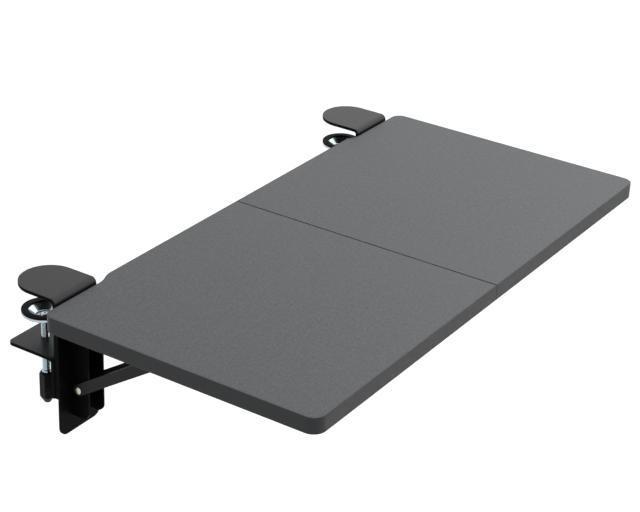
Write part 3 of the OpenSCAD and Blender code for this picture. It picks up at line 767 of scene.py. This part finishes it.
class TRAY_OT_uprights(bpy.types.Operator):
    """Builds the back plates and the upright channels"""
    bl_idname = "tray.uprights"
    bl_label = "Back Plates and Uprights"

    def execute(self, context):
        sizes = context.scene.tray_sizes
        for side, _ in SIDES:
            seat(eased(side + "_back_plate", sizes.sheet), "clamp_frames",
                 "bracket_paint", "black_powder_coat", side + "_back_plate")
            seat(eased(side + "_upright", sizes.sheet, sizes.fold), "clamp_frames",
                 "bracket_paint", "black_powder_coat", side + "_upright")
        return {"FINISHED"}


class TRAY_OT_pins(bpy.types.Operator):
    """Builds the hinge pins and the domed strut rivets"""
    bl_idname = "tray.pins"
    bl_label = "Hinge Pins and Rivets"

    def execute(self, context):
        end = span("right_hinge_pin", 0) / 2 / MM
        flat = mirrored([(3, end - 1.8), (5, end - 1.8), (5, end - 0.5),
                         (4.7, end - 0.15), (4.2, end), (0, end)])
        end = span("right_strut_rivet", 0) / 2 / MM
        domed = mirrored([(3, end - 1.5), (3.81, end - 1.5), (3.74, end - 1.1),
                          (3.4, end - 0.7), (2.7, end - 0.35), (1.5, end - 0.1),
                          (0, end)])
        for side, heading in SIDES:
            for node, profile, point in ((side + "_hinge_pin", flat, HINGE_PLACE),
                                         (side + "_strut_rivet", domed, RIVET_PLACE)):
                piece = turned(node + "_finished", [(profile, across(point, heading))])
                seat(piece, "clamp_frames", "steel", "bright_steel", node)
        return {"FINISHED"}


class TRAY_OT_struts(bpy.types.Operator):
    """Builds the struts and the pins at their upper ends"""
    bl_idname = "tray.struts"
    bl_label = "Struts"

    def execute(self, context):
        sizes = context.scene.tray_sizes
        end = span("right_strut_pin", 0) / 2 / MM
        profile = mirrored([(3, end - 0.3), (2.7, end), (0, end)])
        for side, heading in SIDES:
            body = side + "_strut_link"
            seat(eased(side + "_strut", sizes.sheet, bend=1.2 * MM, steps=3), body,
                 "bracket_paint", "strut_powder_coat", side + "_strut")
            pin = turned(side + "_strut_pin_finished",
                         [(profile, across(STUD_PLACE, heading))])
            seat(pin, body, "steel", "bright_steel", side + "_strut_pin")
        return {"FINISHED"}


class TRAY_OT_sliders(bpy.types.Operator):
    """Builds the sliders in the arms, their headed studs and the lever springs"""
    bl_idname = "tray.sliders"
    bl_label = "Sliders and Springs"

    def execute(self, context):
        sizes = context.scene.tray_sizes
        coil = spring_tree()
        low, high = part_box("left_lever_spring")
        # From the bracket's middle to the first curl
        start = -CLAMP_X - low[0] - sizes.wire / 2
        inner, outer = self.stud(1, 13.05), self.stud(-1, 4.0)
        for side, heading in SIDES:
            body = side + "_slide_block"
            seat(eased(side + "_slider", sizes.sheet, bend=1.0 * MM), body, "zinc",
                 "bright_zinc", side + "_slider")
            place = across(STUD_PLACE, heading)
            studs = turned(side + "_slider_studs_finished",
                           [(inner, place), (outer, place)])
            seat(studs, body, "steel", "bright_steel", side + "_slider_studs")
            curl = (clamp_x(heading) - heading * start, STUD_PLACE[1], STUD_PLACE[2])
            spring = grown(side + "_lever_spring_finished", coil, [curl],
                           "bright_steel", crease=60, Wire_radius=sizes.wire / 2,
                           Curl_radius=(high[2] - low[2] - sizes.wire) / 2,
                           Length=high[0] - low[0] - sizes.wire, Curls=sizes.curls,
                           Turn=(0.0, heading * pi / 2, 0.0))
            seat(spring, body, "steel", "bright_steel", side + "_lever_spring")
        return {"FINISHED"}

    def stud(self, way, neck):
        """Profile of a stud, in mm, from the slider's wall out to its head.

        The way is 1 towards the tray's middle, and the neck is what the head clears."""
        wall = 14.8
        steps = [(0, 0), (2.9, 0), (3, 0.1), (3, neck), (5, neck), (5, neck + 1.3),
                 (4.7, neck + 1.65), (4.2, neck + 1.8), (0, neck + 1.8)]
        return [(radius, way * (wall + rise)) for radius, rise in steps]


class TRAY_OT_levers(bpy.types.Operator):
    """Builds the release levers and their dipped grips"""
    bl_idname = "tray.levers"
    bl_label = "Release Levers"

    def execute(self, context):
        sizes = context.scene.tray_sizes
        for side, _ in SIDES:
            seat(eased(side + "_release_lever", sizes.sheet), side + "_lever",
                 "bracket_paint", "black_powder_coat", side + "_release_lever")
            seat(eased(side + "_lever_grip", sizes.moulded, steps=3), side + "_lever",
                 "plastic", "dipped_vinyl", side + "_lever_grip")
        return {"FINISHED"}


class TRAY_OT_pads(bpy.types.Operator):
    """Builds the dished cups and their rubber rings"""
    bl_idname = "tray.pads"
    bl_label = "Clamp Pads"

    def execute(self, context):
        low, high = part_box("right_pad_cup")
        rim, floor, top = high[2] / MM, low[2] / MM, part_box("right_pad_ring")[1][2] / MM
        edge, sheet = (high[0] - low[0]) / 2 / MM, 1.2
        # Pressed from 1.2 mm sheet: flat foot, sloping dish, flange and turned-down rim
        cup = softened([(3.05, floor), (10.1, floor), (15.6, rim - sheet),
                        (edge - sheet, rim - sheet), (edge - sheet, rim - 2.6),
                        (edge, rim - 2.6), (edge, rim), (15.0, rim),
                        (9.5, floor + sheet), (3.05, floor + sheet)], 0.55)
        ring = softened([(15, rim), (edge, rim), (edge, top), (15, top)], 0.6)
        for side, heading in SIDES:
            place = screw_axis(heading)
            seat(turned(side + "_pad_cup_finished", [(cup, place)], 45, 96),
                 side + "_pad", "zinc", "bright_zinc", side + "_pad_cup")
            seat(turned(side + "_pad_ring_finished", [(ring, place)], 60, 96),
                 side + "_pad", "rubber", "nitrile_rubber", side + "_pad_ring")
        return {"FINISHED"}


class TRAY_OT_screws(bpy.types.Operator):
    """Builds the threaded spindles with their riveted heads and collars"""
    bl_idname = "tray.screws"
    bl_label = "Clamp Screws"

    def execute(self, context):
        sizes = context.scene.tray_sizes
        thread = thread_tree()
        low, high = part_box("right_spindle")
        top, rod_end = high[2] / MM, low[2] / MM
        # The thread runs from the cup's underside to the collar on the handle
        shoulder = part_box("right_pad_cup")[0][2] / MM - 0.1
        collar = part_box("right_handle")[1][2] / MM + 2.0
        overlap, rows_a_turn = 0.3, 10
        head = [(0, top - 0.9), (0.9, top - 0.7), (1.9, top - 0.1), (2.3, top),
                (3.1, top), (3.7, top - 0.3), (4.7, top - 1.4), (4.8, top - 1.8),
                (3.0, top - 1.8), (3.0, shoulder - 1), (0, shoulder - 1)]
        foot = [(0, collar + 0.6), (3.2, collar + 0.6), (3.4, collar), (4.4, collar),
                (4.8, collar - 0.4), (4.8, collar - 1.6), (4.4, collar - 2.0),
                (3.0, collar - 2.0), (3.0, rod_end), (0, rod_end)]
        run = (shoulder - collar + overlap) * MM
        for side, heading in SIDES:
            node, place = side + "_spindle", screw_axis(heading)
            start = place @ Vector((0, 0, (collar - overlap) * MM))
            piece = grown(node + "_finished", thread, [start], "bright_zinc",
                          crease=60, Crest_radius=3.97 * MM, Thread_depth=sizes.thread,
                          Pitch=sizes.pitch, Length=run,
                          Rows=round(run / sizes.pitch * rows_a_turn))
            ends = turned(node + "_ends", [(head, place), (foot, place)])
            form = bmesh.new()
            form.from_mesh(piece.data)
            form.from_mesh(ends.data)
            form.to_mesh(piece.data)
            form.free()
            bpy.data.objects.remove(ends)
            seat(piece, side + "_screw", "zinc", "bright_zinc", node)
        return {"FINISHED"}


class TRAY_OT_handles(bpy.types.Operator):
    """Builds the six-sided handles and the pins that hold them"""
    bl_idname = "tray.handles"
    bl_label = "Handles"

    def execute(self, context):
        for side, _ in SIDES:
            seat(eased(side + "_handle", context.scene.tray_sizes.moulded, corner=20),
                 side + "_screw", "plastic", "moulded_nylon", side + "_handle")
            seat(eased(side + "_handle_pin", width=0.2 * MM), side + "_screw", "steel",
                 "bright_steel", side + "_handle_pin")
        return {"FINISHED"}


class TRAY_OT_stage(bpy.types.Operator):
    """Sets the floor, the soft lights, the white surround and the camera"""
    bl_idname = "tray.stage"
    bl_label = "Stage"

    def execute(self, context):
        scene = context.scene
        scene.view_settings.view_transform = "Standard"
        self.floor(scene.tray_colours.floor)
        self.surround(scene)
        self.lights()
        self.camera(scene)
        return {"FINISHED"}

    def white_rays(self, tree):
        """1 for the rays that show the background, straight or in a reflection."""
        path = add(tree, "ShaderNodeLightPath").node.outputs
        seen = add(tree, "ShaderNodeMath",
                   {0: path["Is Camera Ray"], 1: path["Is Glossy Ray"]})
        return add(tree, "ShaderNodeMath", {0: seen, 1: path["Is Transmission Ray"]},
                   use_clamp=True)

    def floor(self, tint):
        """A pale floor where a room's would be, 735 mm below the desk top.

        Its glow turns it white to the eye, without lighting the tray."""
        form = bmesh.new()
        bmesh.ops.create_grid(form, x_segments=8, y_segments=8, size=15.0,
                              matrix=Matrix.Translation((0, -0.15, -0.735)))
        mesh = bpy.data.meshes.new("floor")
        form.to_mesh(mesh)
        form.free()
        floor = new_piece("floor", mesh)
        material = bpy.data.materials.new("pale_floor")
        material.use_nodes = True
        tree = material.node_tree
        tree.nodes.clear()
        plain = add(tree, "ShaderNodeBsdfDiffuse", {"Color": tuple(tint) + (1.0,)})
        strength = add(tree, "ShaderNodeMath", {0: self.white_rays(tree), 1: 0.9},
                       operation="MULTIPLY")
        glow = add(tree, "ShaderNodeEmission", {"Strength": strength})
        both = add(tree, "ShaderNodeAddShader", {0: plain, 1: glow})
        add(tree, "ShaderNodeOutputMaterial", {"Surface": both})
        mesh.materials.append(material)

    def surround(self, scene):
        """White behind the tray and in its reflections, dim as a light on it."""
        world = bpy.data.worlds.new("surround")
        world.use_nodes = True
        tree = world.node_tree
        tree.nodes.clear()
        strength = add(tree, "ShaderNodeMapRange",
                       {"Value": self.white_rays(tree), "To Min": 0.24, "To Max": 1.0})
        sky = add(tree, "ShaderNodeBackground",
                  {"Color": (1.0, 1.0, 1.0, 1.0), "Strength": strength})
        add(tree, "ShaderNodeOutputWorld", {"Surface": sky})
        scene.world = world

    def lights(self):
        """Broad round lamps, as name, place, width in metres and power in watts."""
        aim = Vector((0.0, -0.15, -0.02))
        for name, place, size, power in (
                ("key", (0.95, -0.65, 1.3), 3.0, 27.0),
                ("fill", (-1.6, -1.2, 0.9), 1.5, 2.0),
                ("rim", (2.1, 1.05, 0.8), 2.0, 3.0)):
            lamp = bpy.data.lights.new(name, "AREA")
            lamp.shape = "DISK"
            lamp.size = size
            lamp.energy = power
            lamp_object = new_piece(name, lamp)
            place = Vector(place)
            lamp_object.matrix_world = (Matrix.Translation(place)
                                        @ (place - aim).to_track_quat("Z", "Y")
                                        .to_matrix().to_4x4())

    def camera(self, scene):
        """The photograph's view, fitted to the board's edges at 640 x 512."""
        yaw, pitch, roll = (radians(a) for a in (57.269, 26.65, -2.342))
        ahead = Vector((sin(yaw) * cos(pitch), cos(yaw) * cos(pitch), -sin(pitch)))
        level = Vector((cos(yaw), -sin(yaw), 0))
        below = ahead.cross(level)
        right = cos(roll) * level + sin(roll) * below
        down = -sin(roll) * level + cos(roll) * below
        # The fit's focal length is in pixels
        focal_length, photo_width = 1828.9, 640
        lens = bpy.data.cameras.new("camera")
        lens.sensor_width = 36.0
        lens.lens = focal_length * lens.sensor_width / photo_width
        lens.clip_start = 0.05
        lens.clip_end = 50.0
        camera = new_piece("camera", lens)
        camera.matrix_world = (Matrix.Translation((-1.3841, -0.9943, 0.7931))
                               @ Matrix((right, -down, -ahead)).transposed().to_4x4())
        scene.camera = camera


STEPS = (TRAY_OT_finishes, TRAY_OT_panels, TRAY_OT_bands, TRAY_OT_joining, TRAY_OT_arms,
         TRAY_OT_jaws, TRAY_OT_bolts, TRAY_OT_uprights, TRAY_OT_pins, TRAY_OT_struts,
         TRAY_OT_sliders, TRAY_OT_levers, TRAY_OT_pads, TRAY_OT_screws, TRAY_OT_handles,
         TRAY_OT_stage)


class TRAY_PT_steps(bpy.types.Panel):
    """Lists the steps, sizes and colours of the tray"""
    bl_idname = "TRAY_PT_steps"
    bl_label = "Keyboard Tray"
    bl_space_type = "VIEW_3D"
    bl_region_type = "UI"
    bl_category = "Keyboard Tray"

    def draw(self, context):
        for group in (context.scene.tray_sizes, context.scene.tray_colours):
            for key in group.__annotations__:
                self.layout.prop(group, key)
        for step in STEPS:
            self.layout.operator(step.bl_idname)


CLASSES = (TraySizes, TrayColours, *STEPS, TRAY_PT_steps)


def register():
    for each in CLASSES:
        bpy.utils.register_class(each)
    bpy.types.Scene.tray_sizes = bpy.props.PointerProperty(type=TraySizes)
    bpy.types.Scene.tray_colours = bpy.props.PointerProperty(type=TrayColours)


def unregister():
    del bpy.types.Scene.tray_colours
    del bpy.types.Scene.tray_sizes
    for each in reversed(CLASSES):
        bpy.utils.unregister_class(each)


def main():
    """Registers the add-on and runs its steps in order."""
    register()
    for step in STEPS:
        getattr(bpy.ops.tray, step.bl_idname.split(".")[1])()


if __name__ == "__main__":
    main()
